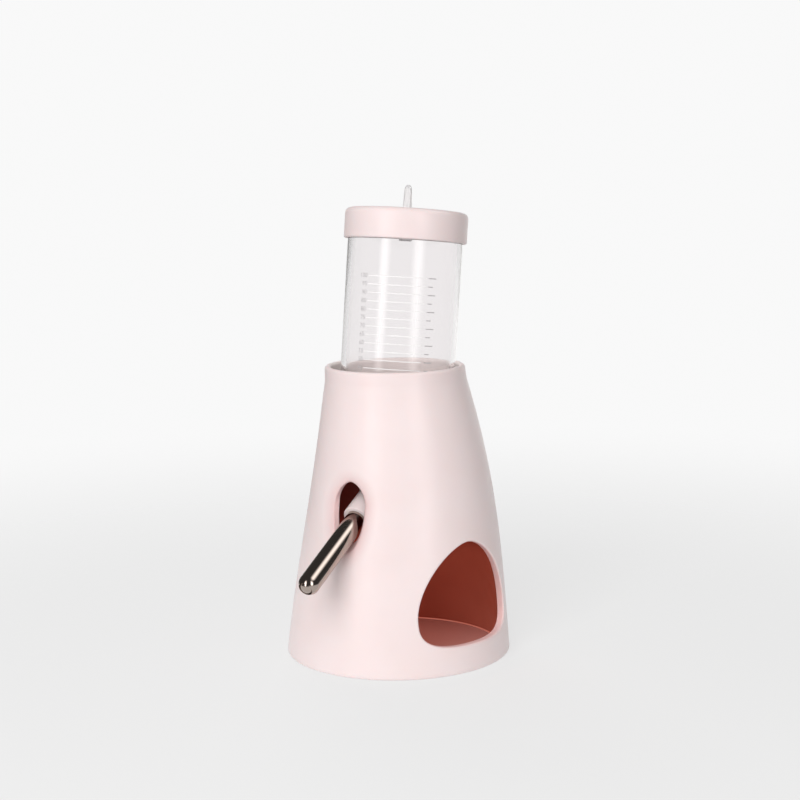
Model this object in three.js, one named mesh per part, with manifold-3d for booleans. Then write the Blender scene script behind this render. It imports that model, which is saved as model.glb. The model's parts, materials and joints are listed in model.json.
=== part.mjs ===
// A drinking bottle for hamsters and other small rodents, standing in a pink hideout stand.
// Millimetres, +Z up. The stand is drawn round its own axis with the ground at z = 0 and the spout
// pointing to -Y; at the end the whole object moves so that its origin lies on the ground under the
// middle of its box.
import * as THREE from 'three';
import { mergeVertices } from 'three/addons/utils/BufferGeometryUtils.js';
import Module from 'manifold-3d';

const wasm = await Module();
wasm.setup();

// ---------- driving dimensions ----------
const GAP = 0.3;                      // running or assembly gap between neighbouring pieces
const STAND = {
  height: 118, baseRadius: 46, neckRadius: 28.8, neckHeight: 112, lipRadius: 28.45,
  baseBore: 42.7, neckBore: 25.9,     // inside radii at the ground and in the neck
  straightShare: 0.6,                 // share of the taper that is a plain cone, the rest is curved
  swell: 2.1, swellAzimuth: 122,      // rings half way up stand a little off the axis
};
const WINDOW = {                      // the upright oval that the spout comes out of: a funnel in the wall
  azimuth: 0, chamfer: 0.8,
  outer: { halfWidth: 8.15, widest: 65.7, rise: 9.5, drop: 18.9, topPower: 1.7, bottomPower: 2.05 },
  inner: { halfWidth: 6.05, widest: 68.2, rise: 7.3, drop: 16.7, topPower: 1.7, bottomPower: 2.6 },
};
const EGG = { halfWidth: 23.4, widest: 22.5, rise: 28.5, drop: 11.6, topPower: 1.7, bottomPower: 3.4 };
const DOOR = { azimuth: 75, chamfer: 0.9, outer: EGG, inner: EGG };   // the doorway, cut straight in
const BOTTLE = {                      // heights run up the bottle's axis from where the spout crosses it
  turn: 1.8, lean: 6.13, sideLean: 1.25, crossing: [-0.57, -2.56, 74.2],
  radius: 23.25, wall: 2.05, neckRadius: 22.3,
  bottom: 8.2, lowShoulder: 17.8, highShoulder: 93.4, top: 101.5, shoulderRise: 0.6,
};
const CAP = { radius: 24.93, bore: 23.3, bottom: 93.85, top: 106.15, plate: 2.4, round: 2.3, hole: 3.3 };
const THREAD = { pitch: 3, turns: 1.25, height: 0.6, rootWidth: 1.3, tipWidth: 0.6, stepsPerTurn: 20 };
const NOZZLE = {
  skirtTop: 17.4, plateTop: 5.4, plateBottom: 3.0, depression: 34.1,
  rootRadius: 8.6, rootEnd: 12.6, radius: 5.85, sleeveStart: 17, end: 31, sealBore: 6.9, sealEnd: 12.2,
};
const TUBE = { radius: 4.25, wall: 0.4, start: 7.2, domeCentre: 69.6, mouth: 2.7, flareRadius: 5.6 };
const BALL = { radius: 3.2 };
const STOP = { hole: 1.6, radius: 3.5, low: 51.6, high: 53.0 };
const SPRING = { coilRadius: 2.9, wireRadius: 0.28, turns: 8, start: 53.6 };
const PLUG = { stem: 3.0, stemBottom: 92.6, head: 5.0, headHeight: 0.5, tabTop: 116.4, tabTurn: 30.2 };
const ROUND = 40;                     // sides on a round piece

const rad = THREE.MathUtils.degToRad;

// ---------- solids ----------
function solidOf(geometry) {
  const bare = geometry.clone();
  bare.deleteAttribute('normal');
  bare.deleteAttribute('uv');
  const merged = mergeVertices(bare, 1e-4);
  return new wasm.Manifold(new wasm.Mesh({
    numProp: 3,
    vertProperties: new Float32Array(merged.attributes.position.array),
    triVerts: new Uint32Array(merged.index.array),
  }));
}

function geometryOf(solid) {
  const { vertProperties, triVerts } = solid.getMesh();
  const geometry = new THREE.BufferGeometry();
  geometry.setAttribute('position', new THREE.BufferAttribute(new Float32Array(vertProperties), 3));
  geometry.setIndex(new THREE.BufferAttribute(new Uint32Array(triVerts), 1));
  geometry.computeVertexNormals();
  return geometry;
}

// Joins rings of points into one closed skin. Rings run anticlockwise seen from the last ring.
// A loop joins the last ring to the first; otherwise both ends are closed by a flat fan.
function loft(rings, loop = false) {
  const count = rings[0].length;
  const points = rings.flat();
  const faces = [];
  const spans = loop ? rings.length : rings.length - 1;
  for (let i = 0; i < spans; i++) {
    const low = i * count;
    const high = ((i + 1) % rings.length) * count;
    for (let k = 0; k < count; k++) {
      const next = (k + 1) % count;
      faces.push(low + k, low + next, high + next);
      faces.push(low + k, high + next, high + k);
    }
  }
  if (!loop) {
    for (const [ring, turned] of [[0, true], [rings.length - 1, false]]) {
      const middle = new THREE.Vector3();
      rings[ring].forEach((point) => middle.addScaledVector(point, 1 / count));
      points.push(middle);
      for (let k = 0; k < count; k++) {
        const edge = [ring * count + k, ring * count + ((k + 1) % count)];
        if (turned) edge.reverse();
        faces.push(...edge, points.length - 1);
      }
    }
  }
  const geometry = new THREE.BufferGeometry().setFromPoints(points);
  geometry.setIndex(faces);
  return geometry;
}

// A solid of revolution about Z. The outline is [radius, height] pairs; one that doesn't start and
// end on the axis closes on itself.
function turned(outline, sides = ROUND) {
  const points = outline.map(([radius, height]) => new THREE.Vector2(radius, height));
  const onAxis = outline[0][0] === 0 && outline.at(-1)[0] === 0;
  if (!onAxis) points.push(points[0].clone());
  const lathe = new THREE.LatheGeometry(points, sides);
  return lathe.rotateX(Math.PI / 2);
}

// Points along a quarter turn of a rounded edge, from one angle to another, in degrees.
function arc(centreRadius, centreHeight, radius, from, to, steps = 5) {
  const points = [];
  for (let i = 0; i <= steps; i++) {
    const angle = rad(THREE.MathUtils.lerp(from, to, i / steps));
    points.push([centreRadius + radius * Math.cos(angle), centreHeight + radius * Math.sin(angle)]);
  }
  return points;
}

// ---------- the stand ----------
// The wall tapers from the ground to the neck: part cone, part curve.
function taper(z, low, high) {
  const share = Math.min(z / STAND.neckHeight, 1);
  const fall = STAND.straightShare * share + (1 - STAND.straightShare) * share ** 2;
  return THREE.MathUtils.lerp(low, high, fall);
}
const outsideRadius = (z) => taper(z, STAND.baseRadius, STAND.neckRadius);
const insideRadius = (z) => taper(z, STAND.baseBore, STAND.neckBore);

function ringCentre(z) {
  const off = STAND.swell * Math.sin(Math.PI * Math.min(z / STAND.height, 1) ** 1.3);
  const azimuth = rad(STAND.swellAzimuth);
  return new THREE.Vector3(off * Math.sin(azimuth), -off * Math.cos(azimuth), 0);
}

function standRing(radius, z, sides = 60) {
  const centre = ringCentre(z);
  return Array.from({ length: sides }, (_, k) => {
    const angle = (2 * Math.PI * k) / sides;
    return new THREE.Vector3(centre.x + radius * Math.cos(angle), centre.y + radius * Math.sin(angle), z);
  });
}

// How far out one of the stand's faces is, along a hole's direction, at a point of the hole's outline.
function faceDepth(radiusAt, across, z, acrossDirection, outward) {
  const centre = ringCentre(z);
  const side = across - centre.dot(acrossDirection);
  return centre.dot(outward) + Math.sqrt(radiusAt(z) ** 2 - side ** 2);
}

// A cutter for an opening in the wall: it runs from the inner outline on the inner face to the outer
// outline on the outer face, where it's flared to take the sharp edge off.
function holeCutter(hole, sides = 48) {
  const azimuth = rad(hole.azimuth);
  const outward = new THREE.Vector3(Math.sin(azimuth), -Math.cos(azimuth), 0);
  const across = new THREE.Vector3(Math.cos(azimuth), Math.sin(azimuth), 0);
  const insideEnd = () => STAND.neckBore - 5;
  const outsideEnd = () => STAND.baseRadius + 5;
  const onFace = (radiusAt, depth) => (x, z) => faceDepth(radiusAt, x, z, across, outward) - depth;
  const ringAt = (shape, grow, distance) => Array.from({ length: sides }, (_, k) => {
    const angle = (2 * Math.PI * k) / sides;
    const upper = Math.sin(angle) >= 0;
    const power = 2 / (upper ? shape.topPower : shape.bottomPower);
    const reach = (upper ? shape.rise : shape.drop) + grow;
    const x = Math.sign(Math.cos(angle)) * Math.abs(Math.cos(angle)) ** power * (shape.halfWidth + grow);
    const z = shape.widest + Math.sign(Math.sin(angle)) * Math.abs(Math.sin(angle)) ** power * reach;
    const point = new THREE.Vector3(0, 0, z).addScaledVector(across, x);
    return point.addScaledVector(outward, distance(x, z));
  });
  return loft([
    ringAt(hole.inner, 0, insideEnd),
    ringAt(hole.inner, 0, onFace(insideRadius, 0)),
    ringAt(hole.outer, 0, onFace(outsideRadius, hole.chamfer)),
    ringAt(hole.outer, 2 * hole.chamfer, onFace(outsideRadius, -hole.chamfer)),
    ringAt(hole.outer, 2 * hole.chamfer, outsideEnd),
  ]);
}

function standShell() {
  const lipRound = (STAND.lipRadius - STAND.neckBore) / 2;
  const lipCentre = STAND.lipRadius - lipRound;
  const foot = 0.8;
  const outsideHeights = [2, 14, 30, 46, 62, 78, 92, 104, STAND.neckHeight];
  const insideHeights = [104, 88, 70, 52, 34, 16];
  const outline = [
    [STAND.baseRadius - foot, 0],
    ...outsideHeights.map((z) => [outsideRadius(z), z]),
    ...arc(lipCentre, STAND.height - lipRound, lipRound, 0, 180, 6),
    ...insideHeights.map((z) => [insideRadius(z), z]),
    [STAND.baseBore, 0],
  ];
  const skin = loft(outline.map(([radius, z]) => standRing(radius, z)), true);
  const shell = solidOf(skin).subtract(solidOf(holeCutter(WINDOW))).subtract(solidOf(holeCutter(DOOR)));
  return geometryOf(shell);
}

// ---------- the bottle and its caps ----------
// A screw thread's ridge, winding up from a height; it points outwards, or inwards on a cap.
function threadRidge(radius, start, inwards = false) {
  const steps = Math.round(THREAD.turns * THREAD.stepsPerTurn);
  const rings = [];
  for (let i = 0; i <= steps; i++) {
    const angle = (2 * Math.PI * i) / THREAD.stepsPerTurn;
    const rise = start + (THREAD.pitch * i) / THREAD.stepsPerTurn;
    const run = Math.min(1, 3 * Math.min(i, steps - i) / THREAD.stepsPerTurn + 0.25);
    const side = inwards ? -1 : 1;
    const section = [
      [radius - side * 0.4, -THREAD.rootWidth / 2],
      [radius + side * THREAD.height * run, -THREAD.tipWidth / 2],
      [radius + side * THREAD.height * run, THREAD.tipWidth / 2],
      [radius - side * 0.4, THREAD.rootWidth / 2],
    ];
    if (!inwards) section.reverse();
    rings.push(section.map(([reach, lift]) => (
      new THREE.Vector3(reach * Math.cos(angle), reach * Math.sin(angle), rise + lift)
    )));
  }
  return loft(rings);
}

function bottleTube() {
  const { radius, wall, neckRadius, bottom, lowShoulder, highShoulder, top, shoulderRise } = BOTTLE;
  const bore = radius - wall;
  const tube = solidOf(turned([
    [bore, bottom], [neckRadius, bottom],
    [neckRadius, lowShoulder], [radius, lowShoulder + shoulderRise],
    [radius, highShoulder - shoulderRise], [neckRadius, highShoulder],
    [neckRadius, top], [bore, top],
  ]));
  const ridges = [bottom + 2.6, highShoulder + 1.7].map((start) => solidOf(threadRidge(neckRadius, start)));
  return geometryOf(tube.add(ridges[0]).add(ridges[1]));
}

function topCap() {
  const { radius, bore, bottom, top, plate, round, hole } = CAP;
  const lip = 0.6;
  const cup = solidOf(turned([
    [bore, bottom], ...arc(radius - lip, bottom + lip, lip, -90, 0, 2),
    ...arc(radius - round, top - round, round, 0, 90, 4), [hole, top],
    [hole, top - plate], [bore, top - plate],
  ]));
  const ridgeStart = BOTTLE.highShoulder + 1.7 + THREAD.pitch / 2;
  return geometryOf(cup.add(solidOf(threadRidge(bore, ridgeStart, true))));
}

// A flat sealing ring between a neck's end and the plate of its cap.
const gasket = (low, high) => turned([[20.5, low], [22.8, low], [22.8, high], [20.5, high]], 32);

function fillPlug() {
  const { stem, stemBottom, head, headHeight, tabTop, tabTurn } = PLUG;
  const headBottom = CAP.top + GAP;
  const stopper = solidOf(turned([
    [0, stemBottom], [stem - 0.4, stemBottom], [stem, stemBottom + 3], [stem, headBottom],
    [head, headBottom], [head, headBottom + headHeight - 0.3], [head - 0.3, headBottom + headHeight],
    [0, headBottom + headHeight],
  ], 24));
  const tabBottom = headBottom + headHeight - 0.2;
  const rows = [
    [4.2, 1.85, tabBottom], [4.4, 1.75, tabBottom + 3], [4.4, 1.6, tabTop - 3],
    [3.7, 1.5, tabTop - 1.2], [2.2, 1.3, tabTop - 0.3], [0.9, 0.9, tabTop],
  ];
  const tab = loft(rows.map(([halfWidth, halfThickness, z]) => Array.from({ length: 16 }, (_, k) => {
    const angle = (2 * Math.PI * k) / 16;
    const square = (value) => Math.sign(value) * Math.abs(value) ** 0.6;
    return new THREE.Vector3(halfThickness * square(Math.cos(angle)), halfWidth * square(Math.sin(angle)), z);
  })));
  tab.rotateZ(rad(tabTurn));
  return geometryOf(stopper.add(solidOf(tab)));
}

// ---------- the nozzle and the spout ----------
// Turns a piece drawn along +Z into the spout's direction, forwards and down from the crossing.
const spoutTurn = rad(90 + NOZZLE.depression);

function nozzleCap() {
  const { skirtTop, plateTop, plateBottom, rootRadius, rootEnd, radius, sleeveStart, end } = NOZZLE;
  const lip = 0.6;
  const corner = 1.5;
  const cup = solidOf(turned([
    [0, -11], [4, -10.4], [8, -7.4], [10.4, -3], [15, plateBottom],
    ...arc(CAP.radius - corner, plateBottom + corner, corner, -90, 0, 3),
    ...arc(CAP.radius - lip, skirtTop - lip, lip, 0, 90, 2), [0, skirtTop],
  ]));
  const hollow = solidOf(turned([
    [0, -8.8], [3, -8.2], [6, -6], [8.2, -2], [12.8, plateTop], [CAP.bore, plateTop],
    [CAP.bore, skirtTop + 1], [0, skirtTop + 1],
  ]));
  const sleeve = solidOf(turned([
    [0, 0], [rootRadius, 0], [rootRadius, rootEnd], [radius, sleeveStart],
    [radius, end - 0.4], [radius - 0.4, end], [0, end],
  ], 32).rotateX(spoutTurn));
  const bore = solidOf(turned([
    [0, -2], [NOZZLE.sealBore, -2], [NOZZLE.sealBore, NOZZLE.sealEnd], [TUBE.radius + GAP, NOZZLE.sealEnd],
    [TUBE.radius + GAP, end + 1], [0, end + 1],
  ], 32).rotateX(spoutTurn));
  const ridge = solidOf(threadRidge(CAP.bore, BOTTLE.bottom + 2.6 + THREAD.pitch / 2, true));
  return geometryOf(cup.add(sleeve).subtract(hollow).subtract(bore).add(ridge));
}

const tubeSeal = () => turned([
  [TUBE.radius + GAP, 8.1], [NOZZLE.sealBore - GAP, 8.1],
  [NOZZLE.sealBore - GAP, NOZZLE.sealEnd - GAP], [TUBE.radius + GAP, NOZZLE.sealEnd - GAP],
], 32);

// The steel tube: flared at its inner end, and rolled in at the tip to hold the ball.
function spoutTube() {
  const { radius, wall, start, domeCentre, mouth, flareRadius } = TUBE;
  const bore = radius - wall;
  const outerStop = THREE.MathUtils.radToDeg(Math.acos(mouth / radius));
  const innerStop = THREE.MathUtils.radToDeg(Math.acos(mouth / bore));
  return turned([
    [bore, start], [flareRadius, start], [flareRadius, start + wall], [radius, start + wall],
    ...arc(0, domeCentre, radius, 0, outerStop, 4),
    ...arc(0, domeCentre, bore, innerStop, 0, 4),
  ], 32);
}

// The ball rests just inside the mouth and stands out of it by about half a millimetre.
const mouthHeight = TUBE.domeCentre + Math.sqrt((TUBE.radius - TUBE.wall) ** 2 - TUBE.mouth ** 2);
const ballCentre = mouthHeight - Math.sqrt(BALL.radius ** 2 - TUBE.mouth ** 2) - GAP;
const valveBall = () => new THREE.SphereGeometry(BALL.radius, 20, 12).translate(0, 0, ballCentre);

function valveSpring() {
  const { coilRadius, wireRadius, turns, start } = SPRING;
  const ballContact = ballCentre - Math.sqrt(BALL.radius ** 2 - coilRadius ** 2);
  const length = ballContact - GAP - wireRadius - start;
  const stepsPerTurn = 12;
  const rings = Array.from({ length: turns * stepsPerTurn + 1 }, (_, i) => {
    const angle = (2 * Math.PI * i) / stepsPerTurn;
    const rise = start + (length * i) / (turns * stepsPerTurn);
    return Array.from({ length: 5 }, (__, k) => {
      const round = -(2 * Math.PI * k) / 5;
      const reach = coilRadius + wireRadius * Math.cos(round);
      const lift = rise + wireRadius * Math.sin(round);
      return new THREE.Vector3(reach * Math.cos(angle), reach * Math.sin(angle), lift);
    });
  });
  return loft(rings);
}

const springStop = () => turned([
  [STOP.hole, STOP.low], [STOP.radius, STOP.low], [STOP.radius, STOP.high], [STOP.hole, STOP.high],
], 32);

// ---------- assembly ----------
const finishes = {
  pink: { color: '#f3dddc', roughness: 0.38, metalness: 0 },
  clear: { color: '#eef1f2', roughness: 0.05, metalness: 0, transparent: true, opacity: 0.35 },
  silicone: { color: '#e9e9e6', roughness: 0.45, metalness: 0, transparent: true, opacity: 0.7 },
  steel: { color: '#b9b4b0', roughness: 0.15, metalness: 1 },
};

function piece(name, geometry, finish) {
  const mesh = new THREE.Mesh(geometry, new THREE.MeshStandardMaterial(finishes[finish]));
  mesh.name = name;
  return mesh;
}

const spout = new THREE.Group();
spout.rotation.x = spoutTurn;
spout.add(
  piece('tube_seal', tubeSeal(), 'silicone'),
  piece('spout_tube', spoutTube(), 'steel'),
  piece('valve_ball', valveBall(), 'steel'),
  piece('valve_spring', valveSpring(), 'steel'),
  piece('spring_stop', springStop(), 'steel'),
);

const bottle = new THREE.Group();
bottle.position.set(...BOTTLE.crossing);
bottle.rotation.set(-rad(BOTTLE.lean), rad(BOTTLE.sideLean), 0);
bottle.add(
  piece('bottle_tube', bottleTube(), 'clear'),
  piece('top_cap', topCap(), 'pink'),
  piece('top_gasket', gasket(BOTTLE.top + GAP, CAP.top - CAP.plate - GAP), 'silicone'),
  piece('fill_plug', fillPlug(), 'silicone'),
  piece('nozzle_cap', nozzleCap(), 'pink'),
  piece('nozzle_gasket', gasket(NOZZLE.plateTop + GAP, BOTTLE.bottom - GAP), 'silicone'),
  spout,
);

const turnedBottle = new THREE.Group();
turnedBottle.rotation.z = rad(BOTTLE.turn);
turnedBottle.add(bottle);

const drinker = new THREE.Group();
drinker.add(piece('stand_shell', standShell(), 'pink'), turnedBottle);
drinker.updateMatrixWorld(true);
const middle = new THREE.Box3().setFromObject(drinker, true).getCenter(new THREE.Vector3());
drinker.position.set(-middle.x, -middle.y, 0);

export default drinker;
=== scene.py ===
import json
import math

import bpy
from mathutils import Matrix, Vector


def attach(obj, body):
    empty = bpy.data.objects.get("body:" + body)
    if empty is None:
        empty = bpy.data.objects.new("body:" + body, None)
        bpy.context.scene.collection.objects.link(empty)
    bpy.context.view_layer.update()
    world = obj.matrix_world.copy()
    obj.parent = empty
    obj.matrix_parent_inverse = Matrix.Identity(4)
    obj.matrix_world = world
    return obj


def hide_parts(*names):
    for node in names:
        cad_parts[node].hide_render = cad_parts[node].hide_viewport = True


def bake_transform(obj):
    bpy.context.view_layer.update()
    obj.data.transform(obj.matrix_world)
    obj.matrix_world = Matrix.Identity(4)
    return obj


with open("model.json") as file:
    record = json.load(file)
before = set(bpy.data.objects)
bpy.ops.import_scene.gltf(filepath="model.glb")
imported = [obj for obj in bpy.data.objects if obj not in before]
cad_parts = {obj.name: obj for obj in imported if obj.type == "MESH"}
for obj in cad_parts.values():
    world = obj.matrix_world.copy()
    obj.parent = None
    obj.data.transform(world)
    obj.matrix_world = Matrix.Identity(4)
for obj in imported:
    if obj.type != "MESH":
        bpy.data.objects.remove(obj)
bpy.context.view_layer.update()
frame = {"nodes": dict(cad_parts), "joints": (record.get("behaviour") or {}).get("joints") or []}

MM = 0.001

# ---------- places taken from the frame ----------
joints = {joint["name"]: joint for joint in frame["joints"]}
bottle_up = Vector(joints["cap_turn"]["axis"]).normalized()
spout_out = -Vector(joints["ball_push"]["axis"]).normalized()
crossing = Vector(joints["cap_turn"]["pos_m"]) / MM


def stand_axis():
    """Where the stand's axis meets the ground: the middle of the foot ring."""
    corners = [v.co for v in frame["nodes"]["stand_shell"].data.vertices if v.co.z < 0.01 * MM]
    xs = [co.x for co in corners]
    ys = [co.y for co in corners]
    return Vector(((min(xs) + max(xs)) / 2, (min(ys) + max(ys)) / 2, 0)) / MM


def direction(azimuth, elevation=0):
    """Outwards at so many degrees round from the spout's side, and up."""
    a, e = math.radians(azimuth), math.radians(elevation)
    return Vector((math.sin(a) * math.cos(e), -math.cos(a) * math.cos(e), math.sin(e)))


def placed(across, upward, origin):
    """A matrix whose X is across and Z is upward, at a point."""
    forward = upward.cross(across)
    turn = Matrix((across, forward, upward)).transposed()
    return Matrix.Translation(origin) @ turn.to_4x4()


STAND_AXIS = stand_axis()
sideways = bottle_up.cross(spout_out).normalized()
BOTTLE_FRAME = placed(sideways, bottle_up, crossing)
SPOUT_FRAME = placed(sideways, spout_out, crossing)

# ---------- dimensions: the part's own, with finer edges ----------
GAP = 0.3
STAND = dict(
    height=118, base_radius=46, neck_radius=28.8, neck_height=112, lip_radius=28.45, foot=0.8,
    base_bore=42.7, neck_bore=25.9, straight_share=0.6, swell=2.1, swell_azimuth=122,
)
# An opening takes a patch of wall between two columns (degrees) and two rows. Its outer edge is rounded so
# far out on the face and so deep, and its share of painted shade is how far the cut wall's colour goes
# towards a darker, deeper pink.
WINDOW = dict(
    azimuth=0, rounding=5.6, depth=1.5, inner_rounding=0.6, columns=(-28, 28), rows=(36, 86), blush=0.65,
    outer=dict(half_width=8.15, widest=65.7, rise=9.5, drop=18.9, top_power=1.7, bottom_power=2.05),
    inner=dict(half_width=6.05, widest=68.2, rise=7.3, drop=16.7, top_power=1.7, bottom_power=2.6),
)
EGG = dict(half_width=23.4, widest=22.5, rise=28.5, drop=11.6, top_power=1.7, bottom_power=3.4)
DOOR = dict(
    azimuth=75, rounding=0.9, depth=0.9, inner_rounding=0.6, columns=(30, 120), rows=(4, 60), blush=0.5,
    outer=EGG, inner=EGG,
)
BOTTLE = dict(
    radius=23.25, bore=21.2, neck_radius=22.3,
    bottom=8.2, low_shoulder=17.8, high_shoulder=93.4, top=101.5, shoulder_rise=0.6,
)
CAP = dict(radius=24.93, bore=23.3, bottom=93.85, top=106.15, plate=2.4, rounding=2.3, hole=3.3)
THREAD = dict(pitch=3, turns=1.25, height=0.6, root=1.3, tip=0.6)
LOW_THREAD = BOTTLE["bottom"] + 2.6              # where each neck's thread starts
HIGH_THREAD = BOTTLE["high_shoulder"] + 1.7
NOZZLE = dict(
    skirt_top=17.4, plate_top=5.4, plate_bottom=3.0, root_radius=8.6, root_end=12.6, radius=5.85,
    sleeve_start=17, end=31, seal_bore=6.9, seal_start=8.1, seal_end=12.2, grip=0.04,
)
TUBE = dict(radius=4.25, wall=0.4, start=7.2, dome=69.6, mouth=2.7, flare=5.6)
BALL_RADIUS = 3.2
SPRING = dict(coil_radius=2.9, wire_radius=0.28, turns=8, start=53.6)
STOP = dict(hole=1.6, radius=3.5, low=51.6, high=53.0)
PLUG = dict(stem=3.0, stem_bottom=92.6, head=5.0, head_height=0.5, tab_top=116.4, tab_turn=30.2)
GASKET = dict(bore=20.5, radius=22.8)

SIDES = 128          # round a turned piece
FINE_SIDES = 96      # round a smaller one
GRID_STEP = 2        # the stand's wall: degrees between columns and millimetres between rows
CUT_STEPS = 5        # spans across the wall inside an opening
SHARP = 40           # degrees between two faces from which their edge isn't smoothed


# ---------- mesh helpers ----------
def make_piece(
    name, points, faces, materials, place=Matrix.Identity(4), face_materials=None, sharp=SHARP, blush=None,
):
    """A mesh object from points in millimetres, smooth except where faces meet at over sharp degrees.
    The painted-shade argument is a number for each point, how much painted shade it gets, which its material
    reads as an attribute of the argument's name."""
    mesh = bpy.data.meshes.new(name)
    mesh.from_pydata([(place @ Vector(point)) * MM for point in points], [], faces)
    if blush is not None:
        mesh.attributes.new("blush", "FLOAT", "POINT").data.foreach_set("value", blush)
    mesh.validate()
    for material in materials:
        mesh.materials.append(material)
    if face_materials is not None:
        mesh.polygons.foreach_set("material_index", face_materials)
    mesh.polygons.foreach_set("use_smooth", [True] * len(mesh.polygons))
    mesh.set_sharp_from_angle(angle=math.radians(sharp))
    mesh.update()
    piece = bpy.data.objects.new(name, mesh)
    bpy.context.scene.collection.objects.link(piece)
    return piece


def rounded(corners, closed=True, steps=6):
    """Points of an outline given as (radius, height, rounding) corners, each corner drawn as an arc."""
    outline = []
    for i, (radius, height, rounding) in enumerate(corners):
        here = Vector((radius, height))
        at_end = not closed and i in (0, len(corners) - 1)
        if rounding == 0 or at_end:
            outline.append(here)
            continue
        before = (Vector(corners[i - 1][:2]) - here).normalized()
        after = (Vector(corners[(i + 1) % len(corners)][:2]) - here).normalized()
        half = before.angle(after) / 2
        reach = rounding / math.tan(half)
        centre = here + (before + after).normalized() * rounding / math.sin(half)
        start = here + before * reach - centre
        end = here + after * reach - centre
        turns = (start.slerp(end, k / steps) for k in range(steps + 1))
        outline += [centre + turn.normalized() * rounding for turn in turns]
    return outline


def turned(outline, closed=True, sides=SIDES, thread=None):
    """Points and faces of a turned shape. Its outline runs up the outside and down the inside.
    thread(angle, height, radius) is how far a screw thread's ridge moves that point outwards."""
    points = []
    rings = []
    for i, (radius, height) in enumerate(outline):
        if radius < 1e-6:
            rings.append([len(points)])
            points.append((0, 0, height))
            continue
        ring = []
        for k in range(sides):
            angle = 2 * math.pi * k / sides
            reach = radius + (thread(angle, height, radius) if thread else 0)
            ring.append(len(points))
            points.append((reach * math.cos(angle), reach * math.sin(angle), height))
        rings.append(ring)
    faces = []
    spans = len(rings) if closed else len(rings) - 1
    for i in range(spans):
        faces += band(rings[i], rings[(i + 1) % len(rings)])
    return points, faces


def band(low, high):
    """Faces between two rings, either of which may be one point."""
    count = max(len(low), len(high))
    faces = []
    for k in range(count):
        after = (k + 1) % count
        if len(low) == 1:
            faces.append((low[0], high[after], high[k]))
        elif len(high) == 1:
            faces.append((low[k], low[after], high[0]))
        else:
            faces.append((low[k], low[after], high[after], high[k]))
    return faces


def stacked(rows, sides):
    """Faces of a closed solid whose points come in rows of so many, with a flat face at each end."""
    rings = [list(range(sides * i, sides * (i + 1))) for i in range(rows)]
    faces = [face for low, high in zip(rings, rings[1:]) for face in band(low, high)]
    return faces + [tuple(rings[0][::-1]), tuple(rings[-1])]


def ladder(radius, low, high, step=0.2):
    """Closely spaced outline corners up a straight wall, where a thread's ridge needs them."""
    count = round(abs(high - low) / step)
    return [(radius, low + (high - low) * k / count, 0) for k in range(count + 1)]


def thread_ridge(start, wall, inwards=False):
    """The thread function of turned() for one ridge that starts at a height of a wall of a given radius."""
    slope = (THREAD["root"] - THREAD["tip"]) / 2

    def lift(angle, height, radius):
        if abs(radius - wall) > 0.01:
            return 0
        tallest = 0
        for winding in range(2):
            along = angle / (2 * math.pi) + winding
            run_out = min(1, 6 * min(along, THREAD["turns"] - along))      # the ridge fades at both ends
            off = abs(height - start - THREAD["pitch"] * along)
            flank = min(1, (THREAD["root"] / 2 - off) / slope)
            if run_out > 0 and flank > 0:
                tallest = max(tallest, THREAD["height"] * run_out * flank * (2 - flank))
        return -tallest if inwards else tallest

    return lift


def combine(base, *steps):
    """Joins or cuts other solids into a piece with exact booleans, then removes them."""
    for operation, other in steps:
        modifier = base.modifiers.new(operation.lower(), "BOOLEAN")
        modifier.operation = operation
        modifier.solver = "EXACT"
        modifier.object = other
    bpy.context.view_layer.update()
    result = bpy.data.meshes.new_from_object(base.evaluated_get(bpy.context.evaluated_depsgraph_get()))
    base.modifiers.clear()
    base.data = result
    for _, other in steps:
        bpy.data.objects.remove(other)
    result.polygons.foreach_set("use_smooth", [True] * len(result.polygons))
    result.set_sharp_from_angle(angle=math.radians(SHARP))
    return base


# ---------- shader nodes ----------
def put(tree, socket, value):
    """Sets a socket to a number, or links it to another node's output."""
    if isinstance(value, (int, float)):
        socket.default_value = value
    else:
        tree.links.new(value, socket)


def calculate(tree, operation, first, second):
    node = tree.nodes.new("ShaderNodeMath")
    node.operation = operation
    put(tree, node.inputs[0], first)
    put(tree, node.inputs[1], second)
    return node.outputs[0]


def measure(tree, operation, first, second=None):
    """A vector's length, or its distance from or dot product with a fixed one."""
    node = tree.nodes.new("ShaderNodeVectorMath")
    node.operation = operation
    tree.links.new(first, node.inputs[0])
    if second is not None:
        node.inputs[1].default_value = second
    return node.outputs["Value"]


def mix_shaders(tree, factor, first, second):
    node = tree.nodes.new("ShaderNodeMixShader")
    for socket, value in zip(node.inputs, (factor, first, second)):
        put(tree, socket, value)
    return node.outputs[0]


def piece_coordinates(tree):
    """Places in metres, fixed to the piece."""
    return tree.nodes.new("ShaderNodeTexCoord").outputs["Object"]


def noise(tree, size, detail=2.0):
    """Noise whose grains are about size millimetres across."""
    texture = tree.nodes.new("ShaderNodeTexNoise")
    texture.inputs["Scale"].default_value = 1 / (size * MM)
    texture.inputs["Detail"].default_value = detail
    tree.links.new(piece_coordinates(tree), texture.inputs["Vector"])
    return texture.outputs["Fac"]


def spread(tree, value, low, high):
    """Maps the middle of a noise's range onto low to high."""
    node = tree.nodes.new("ShaderNodeMapRange")
    node.inputs["From Min"].default_value = 0.3
    node.inputs["From Max"].default_value = 0.7
    node.inputs["To Min"].default_value = low
    node.inputs["To Max"].default_value = high
    tree.links.new(value, node.inputs["Value"])
    return node.outputs["Result"]


def ramp(tree, value, low, high, top=1):
    """A smooth rise from 0 to top as the value goes from low to high."""
    node = tree.nodes.new("ShaderNodeMapRange")
    node.interpolation_type = "SMOOTHSTEP"
    node.inputs["From Min"].default_value = low
    node.inputs["From Max"].default_value = high
    node.inputs["To Max"].default_value = top
    tree.links.new(value, node.inputs["Value"])
    return node.outputs["Result"]


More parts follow.
